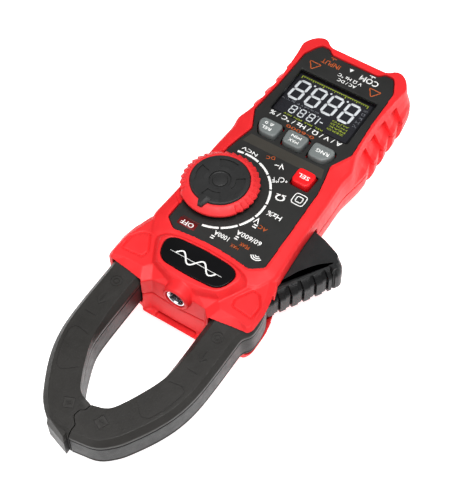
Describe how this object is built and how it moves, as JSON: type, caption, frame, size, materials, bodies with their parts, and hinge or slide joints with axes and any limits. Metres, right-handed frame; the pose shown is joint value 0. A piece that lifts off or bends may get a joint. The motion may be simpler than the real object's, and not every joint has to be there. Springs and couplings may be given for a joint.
{
  "type": "clamp meter",
  "caption": "Hand-held digital clamp meter with a display, press keys, a thumb selector, plug sockets, a torch, and a lever that opens the pivoting jaw.",
  "frame": {"origin": "on the flat back face, in the case's mirror plane, about halfway along the case", "axes": "+X to the right of the upright display, +Y from the display towards the jaws, +Z out of the face"},
  "size_m": [0.0893, 0.2398, 0.0424],
  "materials": {
    "case_red": "satin red overmoulded shell",
    "face_grey": "fine-grained charcoal plastic",
    "jaw_black": "grained near-black plastic",
    "grip_black": "matt black rubber",
    "window_clear": "clear polycarbonate",
    "lcd_dark": "dark negative liquid-crystal glass",
    "key_grey": "grey silicone",
    "key_red": "bright red silicone",
    "board_green": "green solder mask",
    "brass": "plain brass and copper",
    "steel": "zinc-plated steel",
    "core_steel": "laminated core steel",
    "plain_white": "white moulded plastic",
    "cell_jacket": "printed cell jacket, left plain"
  },
  "bodies": {
    "case": {"front_shell": "case_red", "rear_shell": "case_red", "battery_door": "case_red", "door_screw": "steel", "faceplate": "face_grey", "display_window": "window_clear", "lcd_panel": "lcd_dark", "contact_strip": "grip_black", "backlight_panel": "plain_white", "badge_plate": "face_grey", "range_switch": "plain_white", "max_min_switch": "plain_white", "relative_switch": "plain_white", "function_switch": "plain_white", "fixed_jaw_front_cover": "jaw_black", "fixed_jaw_band": "jaw_black", "fixed_jaw_rear_cover": "jaw_black", "fixed_core": "core_steel", "sense_coil": "brass", "hall_sensor": "face_grey", "pivot_pin": "steel", "return_spring": "steel", "main_board": "board_green", "buzzer": "face_grey", "voltage_antenna": "brass", "battery_1": "cell_jacket", "battery_2": "cell_jacket", "battery_3": "cell_jacket", "spring_contact": "steel", "flat_contact": "steel", "common_socket": "grip_black", "input_socket": "grip_black", "common_contact": "brass", "input_contact": "brass", "torch_lens": "window_clear", "torch_led": "plain_white", "case_screw_1": "steel", "case_screw_2": "steel", "case_screw_3": "steel", "case_screw_4": "steel", "case_screw_5": "steel"},
    "moving_jaw": {"moving_jaw_front_cover": "jaw_black", "moving_jaw_band": "jaw_black", "moving_jaw_rear_cover": "jaw_black", "moving_core": "core_steel", "trigger_lever": "jaw_black", "lever_grip": "grip_black"},
    "selector": {"knob_ring": "case_red", "knob_cap": "face_grey", "knob_rotor": "plain_white", "wiper_contact": "brass", "detent_ball": "steel"},
    "range_button": {"range_key": "key_grey"},
    "max_min_button": {"max_min_key": "key_grey"},
    "relative_button": {"relative_key": "key_grey"},
    "function_button": {"function_key": "key_red"}
  },
  "joints": [
    {"name": "jaw_hinge", "type": "hinge", "parent": "case", "child": "moving_jaw", "pos_m": [-0.028, 0.068, 0.0225], "axis": [0, 0, 1], "range_deg": [0, 27], "stiffness_Nm_per_rad": 1.2, "springref_deg": -28.65},
    {"name": "selector_turn", "type": "hinge", "parent": "case", "child": "selector", "pos_m": [0.0148, 0.0217, 0.035], "axis": [0, 0, 1], "range_deg": [0, 178]},
    {"name": "range_press", "type": "slide", "parent": "case", "child": "range_button", "axis": [0, 0, -1], "range_m": [0, 0.001], "stiffness_N_per_m": 300, "springref_m": -0.002},
    {"name": "max_min_press", "type": "slide", "parent": "case", "child": "max_min_button", "axis": [0, 0, -1], "range_m": [0, 0.001], "stiffness_N_per_m": 300, "springref_m": -0.002},
    {"name": "relative_press", "type": "slide", "parent": "case", "child": "relative_button", "axis": [0, 0, -1], "range_m": [0, 0.001], "stiffness_N_per_m": 300, "springref_m": -0.002},
    {"name": "function_press", "type": "slide", "parent": "case", "child": "function_button", "axis": [0, 0, -1], "range_m": [0, 0.001], "stiffness_N_per_m": 300, "springref_m": -0.002}
  ]
}
